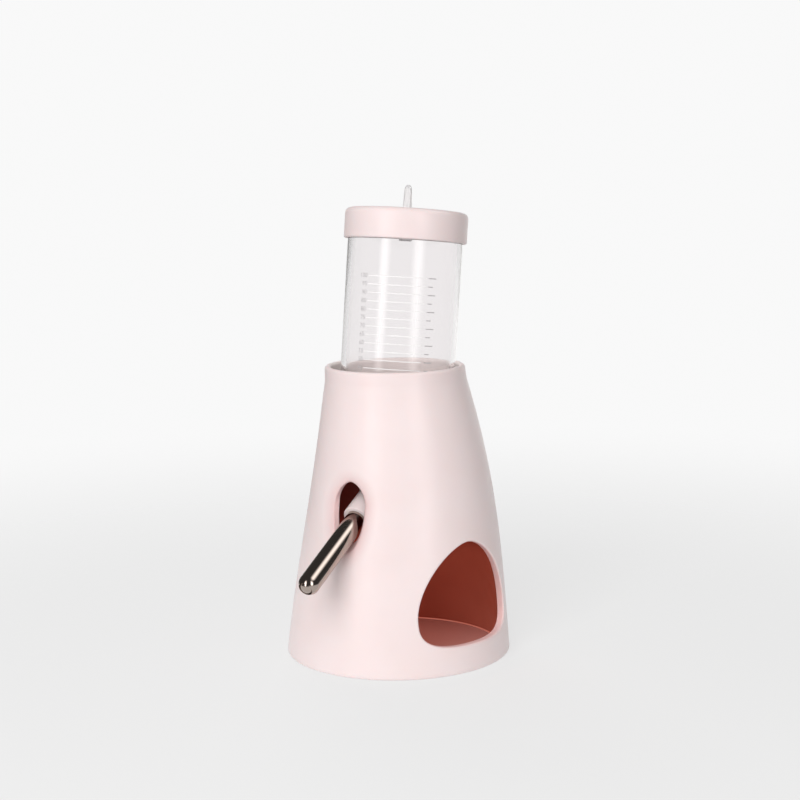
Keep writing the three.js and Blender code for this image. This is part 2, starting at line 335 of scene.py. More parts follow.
def height_share(tree, low, high):
    """0 below one height and 1 above another, in millimetres."""
    split = tree.nodes.new("ShaderNodeSeparateXYZ")
    tree.links.new(piece_coordinates(tree), split.inputs["Vector"])
    return ramp(tree, split.outputs["Z"], low * MM, high * MM)


def blend_colours(tree, factor, first, second):
    node = tree.nodes.new("ShaderNodeMix")
    node.data_type = "RGBA"
    for socket, colour in ((node.inputs[6], first), (node.inputs[7], second)):     # A and B, as colours
        if isinstance(colour, tuple):
            socket.default_value = (*colour, 1)
        else:
            tree.links.new(colour, socket)
    tree.links.new(factor, node.inputs[0])
    return node.outputs[2]


def bump(tree, shader, height, distance):
    """Raises the surface by up to distance millimetres where height is 1."""
    node = tree.nodes.new("ShaderNodeBump")
    node.inputs["Distance"].default_value = distance * MM
    tree.links.new(height, node.inputs["Height"])
    tree.links.new(node.outputs["Normal"], shader.inputs["Normal"])


# ---------- materials ----------
PINK = (0.86, 0.742, 0.737)
PINK_DEEPER = (0.84, 0.71, 0.70)
# painted shade: the darker, redder pink of the openings' cut walls
PAINTED_SHADE_PINK = (0.66, 0.36, 0.35)
# painted light: pale pink high inside the stand's neck
PAINTED_LIGHT_PINK = (0.96, 0.86, 0.83)
# painted shade: maroon inside the stand, where little light reaches
PAINTED_SHADE_MAROON = (0.17, 0.030, 0.022)
# brick and mauve: painted light, the reddened light that comes through the pink wall into the stand and the
# cap
BRICK = (0.48, 0.15, 0.100)
BRICK_DEEPER = (0.42, 0.125, 0.082)
MAUVE = (0.50, 0.28, 0.29)
MAUVE_DEEPER = (0.43, 0.23, 0.24)
GREY = (0.40, 0.375, 0.38)
GREY_WORN = (0.52, 0.49, 0.495)
WHITE = (0.86, 0.83, 0.83)
WHITE_WORN = (0.95, 0.92, 0.92)


def new_material(name, **values):
    """A material of one Principled shader with these values on its sockets, its node tree and the shader."""
    material = bpy.data.materials.new(name)
    material.use_nodes = True
    tree = material.node_tree
    shader = next(node for node in tree.nodes if node.type == "BSDF_PRINCIPLED")
    for socket, value in values.items():
        shader.inputs[socket.replace("_", " ")].default_value = value
    return material, tree, shader


def moulded(tree, shader, colour, smoothest, roughest):
    """Gives a pink piece its colour, an uneven satin gloss and a very fine mould grain."""
    tree.links.new(colour, shader.inputs["Base Color"])
    tree.links.new(spread(tree, noise(tree, 6), smoothest, roughest), shader.inputs["Roughness"])
    bump(tree, shader, noise(tree, 0.35, 3), 0.006)


def pink_plastic():
    """Moulded pale pink plastic with a faint mottle, and painted shade, a darker, deeper pink, where an
    opening cuts through the wall.
    """
    material, tree, shader = new_material(
        "pink_plastic", IOR=1.46,
        Subsurface_Weight=0.12, Subsurface_Radius=(1.0, 0.45, 0.35), Subsurface_Scale=1.5 * MM,
    )
    colour = blend_colours(tree, spread(tree, noise(tree, 22), 0, 1), PINK, PINK_DEEPER)
    # painted shade in the openings' cut walls, a number stored on each point
    blush = tree.nodes.new("ShaderNodeAttribute")
    blush.attribute_name = "blush"
    colour = blend_colours(tree, blush.outputs["Fac"], colour, PAINTED_SHADE_PINK)
    moulded(tree, shader, colour, 0.30, 0.40)
    return material


def inside_plastic(name, deep, deeper, bands=()):
    """A face inside a pink piece, painted deep and warm for the light that has passed through the wall.
    Each band is two heights between which the colour goes over to another; the stand's bands paint shade and
    light."""
    material, tree, shader = new_material(name, IOR=1.46)
    colour = blend_colours(tree, spread(tree, noise(tree, 26), 0, 1), deep, deeper)
    for low, high, beyond in bands:
        colour = blend_colours(tree, height_share(tree, low, high), colour, beyond)
    moulded(tree, shader, colour, 0.34, 0.46)
    return material


def clear_plastic():
    """Clear plastic whose face is very slightly wavy."""
    material, tree, shader = new_material(
        "clear_plastic", Base_Color=(0.965, 0.947, 0.95, 1), Transmission_Weight=1.0, IOR=1.49,
    )
    tree.links.new(spread(tree, noise(tree, 9), 0.0, 0.035), shader.inputs["Roughness"])
    bump(tree, shader, noise(tree, 14, 1), 0.008)
    return material


def silicone():
    """Translucent silicone rubber."""
    material, tree, shader = new_material(
        "silicone", Base_Color=(0.97, 0.96, 0.96, 1), Transmission_Weight=0.5, IOR=1.30,
        Subsurface_Weight=0.2, Subsurface_Radius=(1.0, 1.0, 1.0), Subsurface_Scale=1.0 * MM,
    )
    tree.links.new(spread(tree, noise(tree, 2.5), 0.30, 0.42), shader.inputs["Roughness"])
    bump(tree, shader, noise(tree, 0.5, 3), 0.006)
    return material


def polished_steel():
    """Polished stainless steel with a slightly uneven sheen."""
    material, tree, shader = new_material("polished_steel", Base_Color=(0.44, 0.37, 0.33, 1), Metallic=1.0)
    tree.links.new(spread(tree, noise(tree, 1.6, 4), 0.07, 0.15), shader.inputs["Roughness"])
    bump(tree, shader, noise(tree, 0.6, 4), 0.0008)
    return material


def print_ink(name, tone, worn):
    """Screen-printed ink, a little worn."""
    material, tree, shader = new_material(name, IOR=1.5)
    colour = blend_colours(tree, spread(tree, noise(tree, 0.5, 3), 0, 1), tone, worn)
    tree.links.new(colour, shader.inputs["Base Color"])
    tree.links.new(spread(tree, noise(tree, 0.8), 0.45, 0.6), shader.inputs["Roughness"])
    return material


PINK_PLASTIC = pink_plastic()
# The stand's inner face: brick for the reddened light that comes through the wall, maroon painted shade from
# about 40 mm up, where little light reaches, going over to pale pink painted light towards the lip.
INSIDE_PLASTIC = inside_plastic(
    "inside_plastic", BRICK, BRICK_DEEPER, bands=((32, 48, PAINTED_SHADE_MAROON), (82, 111, PAINTED_LIGHT_PINK)),
)
# mauve inside the cap: painted shade and the reddened light that comes through its wall
CAP_INSIDE = inside_plastic("cap_inside", MAUVE, MAUVE_DEEPER)
CLEAR_PLASTIC = clear_plastic()
SILICONE = silicone()
STEEL = polished_steel()
GREY_INK = print_ink("grey_ink", GREY, GREY_WORN)
WHITE_INK = print_ink("white_ink", WHITE, WHITE_WORN)


# ---------- the stand ----------
def taper(z, low, high):
    """The wall's radius at a height: part cone, part curve, from the ground to the neck."""
    share = min(z / STAND["neck_height"], 1)
    fall = STAND["straight_share"] * share + (1 - STAND["straight_share"]) * share ** 2
    return low + (high - low) * fall


def outside_radius(z):
    return taper(z, STAND["base_radius"], STAND["neck_radius"])


def inside_radius(z):
    return taper(z, STAND["base_bore"], STAND["neck_bore"])


def ring_centre(z):
    """Rings half way up stand a little off the axis."""
    off = STAND["swell"] * math.sin(math.pi * min(z / STAND["height"], 1) ** 1.3)
    azimuth = math.radians(STAND["swell_azimuth"])
    return Vector((off * math.sin(azimuth), -off * math.cos(azimuth), 0)) + STAND_AXIS


def on_wall(radius_at, azimuth, z):
    """A point of the stand's inner or outer face."""
    return ring_centre(z) + radius_at(z) * direction(azimuth) + Vector((0, 0, z))


class Hole:
    """An opening through the stand's wall along its azimuth. Its wall runs from an outline on the outer
    face to one on the inner face, and each edge is rounded: so far out on the face and so deep."""

    def __init__(self, azimuth, outer, inner, rounding, depth, inner_rounding, columns, rows, blush):
        self.azimuth = azimuth
        self.blush = blush
        self.outer = outer
        self.inner = inner
        self.rounding = rounding
        self.depth = depth
        self.inner_rounding = inner_rounding
        self.columns = columns
        self.rows = rows
        self.across = direction(azimuth + 90)

    def outline(self, shape, angle, grow=0.0):
        """(across, height) of the outline's point at an angle round its middle, moved outwards by grow."""
        def at(turn):
            cos, sin = math.cos(turn), math.sin(turn)
            half = "rise" if sin >= 0 else "drop"
            power = shape["top_power" if sin >= 0 else "bottom_power"]
            size = (abs(cos / shape["half_width"]) ** power + abs(sin / shape[half]) ** power) ** (-1 / power)
            return Vector((size * cos, size * sin + shape["widest"]))
        along = at(angle + 0.004) - at(angle - 0.004)
        normal = Vector((along.y, -along.x)).normalized()
        return at(angle) + normal * grow

    def column(self, radius_at, across, z):
        """The azimuth of the face's point that lies so far across at a height."""
        side = across - (ring_centre(z) - STAND_AXIS).dot(self.across)
        return self.azimuth + math.degrees(math.asin(side / radius_at(z)))

    def on_face(self, radius_at, point):
        across, z = point
        return on_wall(radius_at, self.column(radius_at, across, z), z)

    def border(self):
        """(azimuth, height) round the edge of the patch of wall that the opening takes, anticlockwise."""
        left, right = self.columns
        low, high = self.rows
        bottom = [(azimuth, low) for azimuth in range(left, right, GRID_STEP)]
        up = [(right, z) for z in range(low, high, GRID_STEP)]
        top = [(azimuth, high) for azimuth in range(right, left, -GRID_STEP)]
        down = [(left, z) for z in range(high, low, -GRID_STEP)]
        return bottom + up + top + down

    def angle_of(self, shape, radius_at, azimuth, z):
        """The direction of a border point from the outline's middle."""
        across = (on_wall(radius_at, azimuth, z) - STAND_AXIS).dot(self.across)
        return math.atan2(z - shape["widest"], across)

    def holds(self, azimuth, z):
        """True where the wall's grid leaves out a cell for this opening's patch."""
        left, right = self.columns
        low, high = self.rows
        return left <= azimuth < right and low <= z < high

    def face_side(self, shape, radius_at, rounding, steps=9):
        """On one face: rings from the patch's border to where the rounded edge starts, closer together
        towards the edge, then the edge's own start and corner points."""
        border = self.border()
        angles = [self.angle_of(shape, radius_at, azimuth, z) for azimuth, z in border]
        rings = []
        for step in range(1, steps):
            share = 1 - (1 - step / steps) ** 1.6
            ring = []
            for (azimuth, z), angle in zip(border, angles):
                edge_across, edge_z = self.outline(shape, angle, rounding)
                edge_azimuth = self.column(radius_at, edge_across, edge_z)
                here_z = z + (edge_z - z) * share
                ring.append(on_wall(radius_at, azimuth + (edge_azimuth - azimuth) * share, here_z))
            rings.append(ring)
        starts = [self.on_face(radius_at, self.outline(shape, angle, rounding)) for angle in angles]
        corners = [self.on_face(radius_at, self.outline(shape, angle)) for angle in angles]
        return rings, starts, corners


def edge_rings(starts, corners, ends, steps=8):
    """Rings of a rounded edge, from the face over the corner to the opening's wall."""
    weight = math.sqrt(0.5)
    rings = []
    for step in range(steps + 1):
        share = step / steps
        parts = ((1 - share) ** 2, 2 * share * (1 - share) * weight, share ** 2)
        triples = zip(starts, corners, ends)
        rings.append([(a * parts[0] + b * parts[1] + c * parts[2]) / sum(parts) for a, b, c in triples])
    return rings


def hole_patch(hole, points, outer_grid, inner_grid):
    """Faces round and through an opening, which of them belong to the inner face, and their points' share of
    painted shade.
    """
    outer_rings, outer_starts, outer_corners = hole.face_side(hole.outer, outside_radius, hole.rounding)
    inner_rings, inner_starts, inner_corners = hole.face_side(hole.inner, inside_radius, hole.inner_rounding)
    ways = [(inner - outer).normalized() for outer, inner in zip(outer_corners, inner_corners)]
    outer_ends = [corner + way * hole.depth for corner, way in zip(outer_corners, ways)]
    inner_ends = [corner - way * hole.inner_rounding for corner, way in zip(inner_corners, ways)]
    outer_edge = edge_rings(outer_starts, outer_corners, outer_ends)
    inner_edge = edge_rings(inner_starts, inner_corners, inner_ends)
    wall = [
        [outer.lerp(inner, step / CUT_STEPS) for outer, inner in zip(outer_ends, inner_ends)]
        for step in range(1, CUT_STEPS)
    ]
    first_cut = len(outer_rings)
    first_inside = first_cut + len(outer_edge) + CUT_STEPS + len(inner_edge) // 2
    border = hole.border()
    rings = [[outer_grid[spot] for spot in border]]
    blush = []
    for i, ring in enumerate(outer_rings + outer_edge + wall + inner_edge[::-1] + inner_rings[::-1]):
        rings.append(list(range(len(points), len(points) + len(ring))))
        points += ring
        # painted shade: strongest part way through the cut wall, none on the outer and inner faces
        share = min(max((i - first_cut) / (first_inside - first_cut), 0), 1)
        blush += [hole.blush * math.sin(math.pi * share ** 1.4)] * len(ring)
    rings.append([inner_grid[spot] for spot in border])
    faces = []
    insides = []
    for i, (low, high) in enumerate(zip(rings, rings[1:])):
        new = band(low, high)
        faces += new
        insides += [int(i >= first_inside)] * len(new)
    return faces, insides, blush


def stand_outline(heights):
    """(radius, height, inside) of the shell's rings: up the outer face, over the lip and down inside."""
    s = STAND
    foot, base_bore = s["foot"], s["base_bore"]
    outline = []
    for step in range(6):
        angle = math.radians(-90 + 15 * step)
        radius = outside_radius(foot) - foot + foot * math.cos(angle)
        outline.append((radius, foot + foot * math.sin(angle), False))
    outline += [(outside_radius(z), z, False) for z in heights]
    lip_round = (s["lip_radius"] - s["neck_bore"]) / 2
    lip_middle = s["lip_radius"] - lip_round
    lip_height = s["height"] - lip_round
    for share in (0.25, 0.5, 0.75):
        radius = s["neck_radius"] + (s["lip_radius"] - s["neck_radius"]) * share
        outline.append((radius, s["neck_height"] + (lip_height - s["neck_height"]) * share, False))
    lip_steps = 16
    for step in range(lip_steps + 1):
        angle = math.pi * step / lip_steps
        radius = lip_middle + lip_round * math.cos(angle)
        outline.append((radius, lip_height + lip_round * math.sin(angle), step > lip_steps / 2))
    lip_foot = lip_height - 2.4
    outline += [(inside_radius(z), z, True) for z in [lip_foot] + heights[::-1]]
    outline += [(base_bore - 0.03, 0.6, True), (base_bore + 0.15, 0.15, True), (base_bore + 0.6, 0, True)]
    return outline


def make_stand():
    """One shell: the outer face, the rounded lip, the inner face and the foot, with both openings."""
    holes = [Hole(**WINDOW), Hole(**DOOR)]
    azimuths = list(range(-60, 300, GRID_STEP))
    heights = list(range(2, STAND["neck_height"] + 1, GRID_STEP))
    points = []
    rings = []
    for radius, z, inside in stand_outline(heights):
        rings.append((len(points), z, inside))
        points += [ring_centre(z) + radius * direction(azimuth) + Vector((0, 0, z)) for azimuth in azimuths]

    count = len(azimuths)
    outer_grid = {}
    inner_grid = {}
    for start, z, inside in rings:
        if z in heights:
            grid = inner_grid if inside else outer_grid
            for k, azimuth in enumerate(azimuths):
                grid[(azimuth, z)] = start + k
    faces = []
    insides = []
    for i, (start, z, inside) in enumerate(rings):
        after, after_z, after_inside = rings[(i + 1) % len(rings)]
        low_z = min(z, after_z)
        on_grid = z in heights and after_z in heights
        for k, azimuth in enumerate(azimuths):
            if on_grid and any(hole.holds(azimuth, low_z) for hole in holes):
                continue
            n = (k + 1) % count
            faces.append((start + k, start + n, after + n, after + k))
            insides.append(int(inside and after_inside))
    # painted shade: none on the plain wall, set in each opening's cut wall
    blush = [0] * len(points)
    for hole in holes:
        new_faces, new_insides, new_painted_shade = hole_patch(hole, points, outer_grid, inner_grid)
        faces += new_faces
        insides += new_insides
        blush += new_painted_shade
    materials = [PINK_PLASTIC, INSIDE_PLASTIC]
    stand = make_piece("stand", points, faces, materials, face_materials=insides, sharp=50, blush=blush)
    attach(stand, "stand")
    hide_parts("stand_shell")


# ---------- the bottle and its caps ----------
def make_bottle():
    """The clear tube, with a threaded neck at each end. Its upper shoulder is close under the cap's rim."""
    b = BOTTLE
    outline = rounded(
        [(b["bore"], b["bottom"], 0.4), (b["neck_radius"], b["bottom"], 0.4)]
        + ladder(b["neck_radius"], b["bottom"] + 1, b["bottom"] + 8)
        + [
            (b["neck_radius"], b["low_shoulder"], 0.3),
            (b["radius"], b["low_shoulder"] + b["shoulder_rise"], 0.6),
            (b["radius"], CAP["bottom"] - 0.15, 0.1),
        ]
        + ladder(b["neck_radius"], CAP["bottom"], b["high_shoulder"] + 7)
        + [(b["neck_radius"], b["top"], 0.4), (b["bore"], b["top"], 0.4)]
    )
    low = thread_ridge(LOW_THREAD, b["neck_radius"])
    high = thread_ridge(HIGH_THREAD, b["neck_radius"])
    points, faces = turned(outline, thread=lambda angle, z, r: low(angle, z, r) + high(angle, z, r))
    tube = make_piece("bottle_wall", points, faces, [CLEAR_PLASTIC], BOTTLE_FRAME)
    tube.visible_shadow = False       # light passes through it to the neck and the cap's inside
    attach(tube, "bottle")
    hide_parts("bottle_tube")


def make_cap():
    """The screw cap: rounded edges, a hole for the stopper and a thread inside."""
    c = CAP
    ceiling = c["top"] - c["plate"]
    thread_start = HIGH_THREAD + THREAD["pitch"] / 2
    outline = rounded([
        (c["bore"], c["bottom"], 0.35), (c["radius"], c["bottom"], 0.7),
        (c["radius"], c["top"], c["rounding"]), (c["hole"], c["top"], 0.4),
        (c["hole"], ceiling, 0.3), (c["bore"], ceiling, 0.4),
    ] + ladder(c["bore"], thread_start + 5, thread_start - 1), steps=8)
    points, faces = turned(outline, thread=thread_ridge(thread_start, c["bore"], inwards=True))
    insides = []
    for face in faces:
        widest = max(math.hypot(points[k][0], points[k][1]) for k in face)
        highest = max(points[k][2] for k in face)
        insides.append(int(widest < c["bore"] + 0.01 and highest < ceiling + 0.1))
    # the inner faces get the mauve of painted shade and reddened light
    materials = [PINK_PLASTIC, CAP_INSIDE]
    cap = make_piece("screw_cap", points, faces, materials, BOTTLE_FRAME, face_materials=insides)
    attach(cap, "cap")
    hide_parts("top_cap")


def make_gasket(name, node, body, low, high):
    """A flat sealing ring, slightly rounded at its edges."""
    g = GASKET
    outline = rounded([
        (g["bore"], low, 0.3), (g["radius"], low, 0.3), (g["radius"], high, 0.3), (g["bore"], high, 0.3),
    ])
    points, faces = turned(outline)
    ring = make_piece(name, points, faces, [SILICONE], BOTTLE_FRAME)
    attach(ring, body)
    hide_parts(node)


def make_tab(bottom, top):
    """The stopper's flat pull tab, with a rounded crown and rounded sides."""
    crown_height = 3
    rows = [
        (4.2, 1.85, bottom - 0.3), (4.35, 1.78, bottom + 1.5), (4.4, 1.68, bottom + 3.5),
        (4.3, 1.58, top - crown_height),
    ]
    crown_rows = 7
    for step in range(1, crown_rows + 1):
        angle = math.radians(90 * step / crown_rows)
        shrink = math.cos(angle) ** 0.8
        z = top - crown_height + crown_height * math.sin(angle)
        rows.append((0.3 + 4.0 * shrink, 0.25 + 1.3 * shrink, z))
    sides = 48
    squareness = 0.62
    points = []
    for half_width, half_thickness, z in rows:
        for k in range(sides):
            angle = 2 * math.pi * k / sides
            cos, sin = math.cos(angle), math.sin(angle)
            x = half_thickness * math.copysign(abs(cos) ** squareness, cos)
            y = half_width * math.copysign(abs(sin) ** squareness, sin)
            points.append((x, y, z))
    place = BOTTLE_FRAME @ Matrix.Rotation(math.radians(PLUG["tab_turn"]), 4, "Z")
    return make_piece("tab", points, stacked(len(rows), sides), [SILICONE], place)


def make_stopper():
    """The silicone filling plug: a stem, a round head and a pull tab."""
    p = PLUG
    head_bottom = CAP["top"] + GAP
    head_top = head_bottom + p["head_height"]
    stem, stem_bottom = p["stem"], p["stem_bottom"]
    outline = rounded([
        (0, stem_bottom, 0), (stem - 0.4, stem_bottom, 0.5), (stem, stem_bottom + 3, 1.0),
        (stem, head_bottom, 0.1), (p["head"], head_bottom, 0.1), (p["head"], head_top, 0.3), (0, head_top, 0),
    ], closed=False)
    points, faces = turned(outline, closed=False, sides=64)
    plug = make_piece("fill_stopper", points, faces, [SILICONE], BOTTLE_FRAME)
    combine(plug, ("UNION", make_tab(head_top, p["tab_top"])))
    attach(plug, "plug")
    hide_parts("fill_plug")


# ---------- the nozzle and the spout ----------
def pink_solid(name, corners, place, sides=SIDES, thread=None):
    """A solid turned from rounded corners, the first and last of which are on the axis."""
    points, faces = turned(rounded(corners, closed=False), closed=False, sides=sides, thread=thread)
    return make_piece(name, points, faces, [PINK_PLASTIC], place)


def make_nozzle():
    """The lower screw cap, whose cone holds the steel tube at a slant."""
    n = NOZZLE
    cup = pink_solid("nozzle_body", [
        (0, -11, 0), (4, -10.4, 2), (8, -7.4, 3), (10.4, -3, 3), (15, n["plate_bottom"], 1.2),
        (CAP["radius"], n["plate_bottom"], 1.5), (CAP["radius"], n["skirt_top"], 0.6), (0, n["skirt_top"], 0),
    ], BOTTLE_FRAME)
    thread_start = LOW_THREAD + THREAD["pitch"] / 2
    hollow_corners = [
        (0, -8.8, 0), (3, -8.2, 1.5), (6, -6, 2), (8.2, -2, 2), (12.8, n["plate_top"], 0.6),
        (CAP["bore"], n["plate_top"], 0.5),
    ]
    hollow_corners += ladder(CAP["bore"], thread_start - 1, thread_start + 5)
    hollow_corners += [(CAP["bore"], n["skirt_top"] + 1, 0), (0, n["skirt_top"] + 1, 0)]
    thread = thread_ridge(thread_start, CAP["bore"], inwards=True)
    hollow = pink_solid("hollow", hollow_corners, BOTTLE_FRAME, thread=thread)
    sleeve = pink_solid("sleeve", [
        (0, 0, 0), (n["root_radius"], 0, 0), (n["root_radius"], n["root_end"], 2),
        (n["radius"], n["sleeve_start"], 2), (n["radius"], n["end"], 0.3), (0, n["end"], 0),
    ], SPOUT_FRAME, FINE_SIDES)
    tube_bore = TUBE["radius"] + n["grip"]
    bore = pink_solid("bore", [
        (0, -2, 0), (n["seal_bore"], -2, 0), (n["seal_bore"], n["seal_end"], 0),
        (tube_bore, n["seal_end"], 0), (tube_bore, n["end"] + 1, 0), (0, n["end"] + 1, 0),
    ], SPOUT_FRAME, FINE_SIDES)
    combine(cup, ("UNION", sleeve), ("DIFFERENCE", hollow), ("DIFFERENCE", bore))
    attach(cup, "bottle")
    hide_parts("nozzle_cap")


def ride_spout(name, node, body, outline, material, sides=FINE_SIDES, closed=True):
    """A turned piece on the spout's axis."""
    points, faces = turned(outline, closed=closed, sides=sides)
    piece = make_piece(name, points, faces, [material], SPOUT_FRAME)
    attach(piece, body)
    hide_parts(node)


def arc(centre, radius, start, end, steps=18):
    """Outline points round an arc whose middle is on the axis, from one angle to another."""
    points = []
    for step in range(steps + 1):
        angle = start + (end - start) * step / steps
        points.append(Vector((radius * math.cos(angle), centre + radius * math.sin(angle))))
    return points


def make_spout():
    """The steel tube: flared inside the nozzle, rolled in at the mouth to hold the ball."""
    t = TUBE
    bore = t["radius"] - t["wall"]
    outer_stop = math.acos((t["mouth"] + 0.15) / t["radius"])
    inner_stop = math.acos((t["mouth"] + 0.05) / bore)
    shank = rounded([
        (bore, t["start"], 0.5), (t["flare"], t["start"], 0.15), (t["flare"], t["start"] + t["wall"], 0.15),
        (t["radius"], t["start"] + t["wall"], 0.3), (t["radius"], t["dome"], 0),
    ], closed=False)
    outline = shank[1:-1] + arc(t["dome"], t["radius"], 0, outer_stop)
    outline += arc(t["dome"], bore, inner_stop, 0)
    outline.append(Vector((bore, t["start"] + 0.5)))
    ride_spout("spout", "spout_tube", "bottle", outline, STEEL)


def ball_centre():
    """The ball rests just inside the mouth and stands out of it by about half a millimetre."""
    bore = TUBE["radius"] - TUBE["wall"]
    mouth_height = TUBE["dome"] + math.sqrt(bore ** 2 - TUBE["mouth"] ** 2)
    return mouth_height - math.sqrt(BALL_RADIUS ** 2 - TUBE["mouth"] ** 2) - GAP


def make_ball():
    """The ball that the animal pushes."""
    outline = arc(ball_centre(), BALL_RADIUS, -math.pi / 2, math.pi / 2, steps=40)
    ride_spout("ball", "valve_ball", "ball", outline, STEEL, sides=72, closed=False)


def make_seals():
    """The bush round the tube's inner end, and the stop that the spring pushes against."""
    n = NOZZLE
    bore, radius = TUBE["radius"] + GAP, n["seal_bore"] - GAP
    low, high = n["seal_start"], n["seal_end"] - GAP
    outline = rounded([(bore, low, 0.4), (radius, low, 0.6), (radius, high, 0.6), (bore, high, 0.4)])
    ride_spout("tube_grommet", "tube_seal", "bottle", outline, SILICONE)
    s = STOP
    outline = rounded([
        (s["hole"], s["low"], 0.2), (s["radius"], s["low"], 0.2),
        (s["radius"], s["high"], 0.2), (s["hole"], s["high"], 0.2),
    ])
    ride_spout("spring_retainer", "spring_stop", "bottle", outline, STEEL)


def make_spring():
    """A coil between the retainer and the ball, built at its resting length; the real spring shortens as the
    ball is pushed in.
    """
    s = SPRING
    contact = ball_centre() - math.sqrt(BALL_RADIUS ** 2 - s["coil_radius"] ** 2)
    length = contact - GAP - s["wire_radius"] - s["start"]
    steps_per_turn, sides = 28, 10
    steps = s["turns"] * steps_per_turn
    points = []
    for i in range(steps + 1):
        share = i / steps
        closed_ends = 0.55 * math.sin(2 * math.pi * share) / (2 * math.pi)
        rise = s["start"] + length * (share - closed_ends)
        angle = 2 * math.pi * i / steps_per_turn
        for k in range(sides):
            round_wire = -2 * math.pi * k / sides
            reach = s["coil_radius"] + s["wire_radius"] * math.cos(round_wire)
            lift = s["wire_radius"] * math.sin(round_wire)
            points.append((reach * math.cos(angle), reach * math.sin(angle), rise + lift))
    coil = make_piece("spring", points, stacked(steps + 1, sides), [STEEL], SPOUT_FRAME, sharp=60)
    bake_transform(coil)
    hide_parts("valve_spring")


# ---------- the printed scale ----------
SCALE = dict(
    top=78.95, spacing=3.31, first=100, step=5, count=17, azimuth=-13, lift=0.03,
    number_height=1.75, number_edge=2.3, line_start=2.9, line_end=26.5, line_height=0.34,
    tick_start=27.8, long_tick=3.4, short_tick=2.0, tick_height=0.36,
)
DIGIT_SHARE = 0.7        # of the font's size, how tall a digit is


def wrap(points, azimuth, height):
    """Lays flat (right, up) points on the bottle, centred at an azimuth from the spout's side."""
    radius = BOTTLE["radius"] + SCALE["lift"]
    wrapped = []
    for right, up in points:
        angle = math.radians(azimuth) + right / radius
        wrapped.append((radius * math.sin(angle), -radius * math.cos(angle), height + up))
    return wrapped


def number_shape(value):
    """Flat (right, up) points and faces of a number, its right edge where the scale's numbers end."""
    curve = bpy.data.curves.new("number", "FONT")
    curve.body = str(value)
    curve.size = SCALE["number_height"] / DIGIT_SHARE
    curve.align_x = "RIGHT"
    curve.align_y = "CENTER"
    curve.resolution_u = 4
    holder = bpy.data.objects.new("number", curve)
    bpy.context.scene.collection.objects.link(holder)
    bpy.context.view_layer.update()
    mesh = bpy.data.meshes.new_from_object(holder.evaluated_get(bpy.context.evaluated_depsgraph_get()))
    points = [(v.co.x + SCALE["number_edge"], v.co.y) for v in mesh.vertices]
    faces = [tuple(p.vertices) for p in mesh.polygons]
    bpy.data.objects.remove(holder)
    return points, faces


def strip_shape(start, length, height):
    """Flat points and faces of a printed line, in short steps so that it can follow the bottle."""
    columns = max(2, round(length))
    flat = [(start + length * k / columns, side * height / 2) for k in range(columns + 1) for side in (-1, 1)]
    return flat, [(2 * k, 2 * k + 2, 2 * k + 3, 2 * k + 1) for k in range(columns)]


def make_scale():
    """Millilitre marks down the bottle, as thin ink on the plastic: at each a grey number, a long white line
    and a grey tick on the right."""
    s = SCALE
    grey, white = 0, 1
    points, faces, inks = [], [], []

    def add(shape, height, ink):
        flat, shape_faces = shape
        start = len(points)
        points.extend(wrap(flat, s["azimuth"], height))
        faces.extend(tuple(start + i for i in face) for face in shape_faces)
        inks.extend([ink] * len(shape_faces))

    for mark in range(s["count"]):
        value = s["first"] - s["step"] * mark
        height = s["top"] - s["spacing"] * mark
        tick = s["long_tick"] if value % 10 == 0 else s["short_tick"]
        add(number_shape(value), height, grey)
        add(strip_shape(s["line_start"], s["line_end"] - s["line_start"], s["line_height"]), height, white)
        add(strip_shape(s["tick_start"], tick, s["tick_height"]), height, grey)
    materials = [GREY_INK, WHITE_INK]
    marks = make_piece("volume_scale", points, faces, materials, BOTTLE_FRAME, face_materials=inks)
    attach(marks, "bottle")


# ---------- the studio ----------
def lamp(name, azimuth, elevation, distance, target, size, power, shape="RECTANGLE", colour=(1, 1, 1)):
    """A soft lamp at a direction and a distance in metres from a target that it points at. It lights the
    object without showing itself, mirrored or through the bottle."""
    data = bpy.data.lights.new(name, "AREA")
    data.shape = shape
    data.size, data.size_y = size
    data.energy = power
    data.color = colour
    thing = bpy.data.objects.new(name, data)
    thing.visible_camera = False
    thing.visible_glossy = False
    thing.visible_transmission = False
    back = direction(azimuth, elevation)
    thing.location = target + back * distance
    thing.rotation_euler = (-back).to_track_quat("-Z", "Y").to_euler()
    bpy.context.scene.collection.objects.link(thing)


def make_lights():
    """A key light in front, a weaker one behind, and a small warm lamp over the hideout that stands for the
    light which comes through its wall."""
    middle = Vector((0, 0, 0.09))
    lamp("key", 14, 32, 1.0, middle, size=(0.6, 0.8), power=7.8)
    lamp("back", 225, 30, 1.0, middle, size=(0.6, 0.6), power=2.6)
    foot = STAND_AXIS * MM
    warm = (1.0, 0.55, 0.46)
    lamp("hideout_glow", 0, 90, 0.051, foot, size=(0.05, 0.05), power=0.012, shape="DISK", colour=warm)


BACKDROP = (0.945, 0.945, 0.945)
FILL = 0.42                  # how brightly the backdrop lights the object
REFLECTED_BASE = 0.06        # what the glossy pieces mirror between the strips
# What they mirror: azimuth, elevation, half width and half height in degrees, and brightness.
REFLECTED = (
    (118, 56, 45, 25, 2.5),      # overhead strip that the steel tube shows as one bright line
    (195, 0, 75, 26, 1.25),      # the bright backdrop behind, seen at grazing angles along the edges
    (-8, 14, 15, 36, 4.8),       # two tall strips in front
    (61, 14, 17, 36, 4.6),
)


def background(tree, colour, strength=1.0):
    node = tree.nodes.new("ShaderNodeBackground")
    node.inputs["Color"].default_value = (*colour, 1)
    put(tree, node.inputs["Strength"], strength)
    return node.outputs[0]


